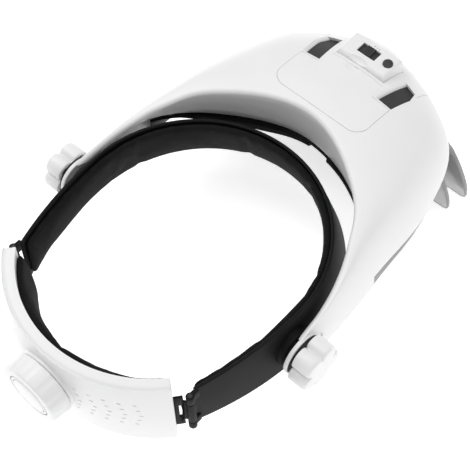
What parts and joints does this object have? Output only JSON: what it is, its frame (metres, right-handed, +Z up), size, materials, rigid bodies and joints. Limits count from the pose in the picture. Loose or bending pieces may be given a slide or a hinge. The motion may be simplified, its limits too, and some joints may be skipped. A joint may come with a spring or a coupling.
{
  "type": "lighted headband magnifier",
  "caption": "Padded headband with a nape ratchet knob and a tilting white visor carrying batteries, switch, lamp and two drop-down lens plates.",
  "frame": {"origin": "centre of the head opening, at mid height of the front band, level with the visor tilt knobs in Y", "axes": "-Y is the front, towards the lenses; +X is the wearer's left; +Z is up with the band worn level"},
  "size_m": [0.2012, 0.2987, 0.0839],
  "materials": {
    "white_abs": "satin white moulded ABS",
    "black_nylon": "satin black moulded nylon",
    "padding": "black knitted fabric over foam",
    "steel": "bright zinc-plated steel",
    "rubber": "black rubber",
    "grey_abs": "fine-grained dark grey ABS",
    "smoked_acrylic": "clear smoked acrylic",
    "clear_acrylic": "polished clear acrylic",
    "battery_sleeve": "plain grey sleeve on steel",
    "board": "green solder mask",
    "reflector": "metallised plastic",
    "led": "yellow phosphor dome"
  },
  "bodies": {
    "headband": {"front_band": "black_nylon", "forehead_pad": "padding", "pivot_bolts": "steel", "friction_washers": "rubber", "hinge_pins": "steel", "strap_left": "black_nylon", "strap_right": "black_nylon"},
    "rear_unit": {"rear_shell": "white_abs", "rear_cover": "white_abs", "rear_pad": "padding", "cover_screws": "steel"},
    "ratchet_knob": {"size_knob": "white_abs", "size_knob_cap": "white_abs", "pinion": "grey_abs", "ratchet_spring": "steel"},
    "upper_rack": {"rack_left": "grey_abs"},
    "lower_rack": {"rack_right": "grey_abs"},
    "visor": {"visor_shell": "white_abs", "pivot_bushes": "white_abs", "side_windows": "smoked_acrylic", "visor_liner": "black_nylon", "liner_screws": "steel", "battery_tray": "black_nylon", "batteries": "battery_sleeve", "battery_contacts": "steel", "vent_ducts": "grey_abs", "control_housing": "white_abs", "switch_body": "grey_abs", "tact_switch": "grey_abs", "circuit_board": "board", "lens_bracket": "black_nylon", "lens_pins": "steel", "lamp_bracket": "white_abs", "lamp_pins": "steel"},
    "left_tilt_knob": {"star_knob_left": "white_abs", "star_nut_left": "steel"},
    "right_tilt_knob": {"star_knob_right": "white_abs", "star_nut_right": "steel"},
    "lid": {"battery_lid": "white_abs"},
    "slider": {"slide_switch": "grey_abs"},
    "button": {"push_button": "grey_abs"},
    "main_plate": {"main_lens": "clear_acrylic", "main_lens_clip": "black_nylon"},
    "front_plate": {"front_lens": "clear_acrylic", "front_lens_clip": "black_nylon"},
    "lamp": {"lamp_housing": "white_abs", "lamp_reflector": "reflector", "lamp_leds": "led", "lamp_lens": "clear_acrylic"}
  },
  "joints": [
    {"name": "visor_tilt", "type": "hinge", "parent": "headband", "child": "visor", "pos_m": [0, 0, -0.003], "axis": [-1, 0, 0], "range_deg": [-10, 60]},
    {"name": "size_adjust", "type": "slide", "parent": "headband", "child": "rear_unit", "axis": [0, 1, 0], "range_m": [0, 0.02513], "deforming": ["strap_left", "strap_right"]},
    {"name": "knob_turn", "type": "hinge", "parent": "rear_unit", "child": "ratchet_knob", "pos_m": [0, 0.0982, 0.0063], "axis": [0, 1, 0], "range_deg": [0, 160.1]},
    {"name": "upper_rack_slide", "type": "hinge", "parent": "rear_unit", "child": "upper_rack", "pos_m": [0, 0.02, 0.0184], "axis": [0, 0, 1], "range_deg": [-18.5, 0]},
    {"name": "lower_rack_slide", "type": "hinge", "parent": "rear_unit", "child": "lower_rack", "pos_m": [0, 0.02, -0.0058], "axis": [0, 0, 1], "range_deg": [0, 18.5]},
    {"name": "left_tilt_knob_turn", "type": "hinge", "parent": "headband", "child": "left_tilt_knob", "pos_m": [0.0946, 0, -0.003], "axis": [1, 0, 0], "continuous": true},
    {"name": "right_tilt_knob_turn", "type": "hinge", "parent": "headband", "child": "right_tilt_knob", "pos_m": [-0.0946, 0, -0.003], "axis": [-1, 0, 0], "continuous": true},
    {"name": "lid_open", "type": "hinge", "parent": "visor", "child": "lid", "pos_m": [0, -0.1089, 0.0322], "axis": [-1, 0, 0], "range_deg": [0, 75]},
    {"name": "switch_slide", "type": "slide", "parent": "visor", "child": "slider", "axis": [1, 0, 0], "range_m": [-0.003, 0.003]},
    {"name": "button_press", "type": "slide", "parent": "visor", "child": "button", "axis": [0, 0, -1], "range_m": [0, 0.0008], "stiffness_N_per_m": 400, "springref_m": -0.0006},
    {"name": "main_plate_flip", "type": "hinge", "parent": "visor", "child": "main_plate", "pos_m": [0, -0.153, -0.0055], "axis": [1, 0, 0], "range_deg": [0, 75]},
    {"name": "front_plate_flip", "type": "hinge", "parent": "visor", "child": "front_plate", "pos_m": [0, -0.167, -0.0055], "axis": [-1, 0, 0], "range_deg": [0, 70]},
    {"name": "lamp_tilt", "type": "hinge", "parent": "visor", "child": "lamp", "pos_m": [0, -0.177, 0.0032], "axis": [-1, 0, 0], "range_deg": [-15, 20]}
  ],
  "couplings": [
    {"joint": "knob_turn", "follows": "size_adjust", "rad_per_m": 111.11},
    {"joint": "upper_rack_slide", "follows": "size_adjust", "rad_per_m": -12.788},
    {"joint": "lower_rack_slide", "follows": "size_adjust", "rad_per_m": 12.788}
  ]
}
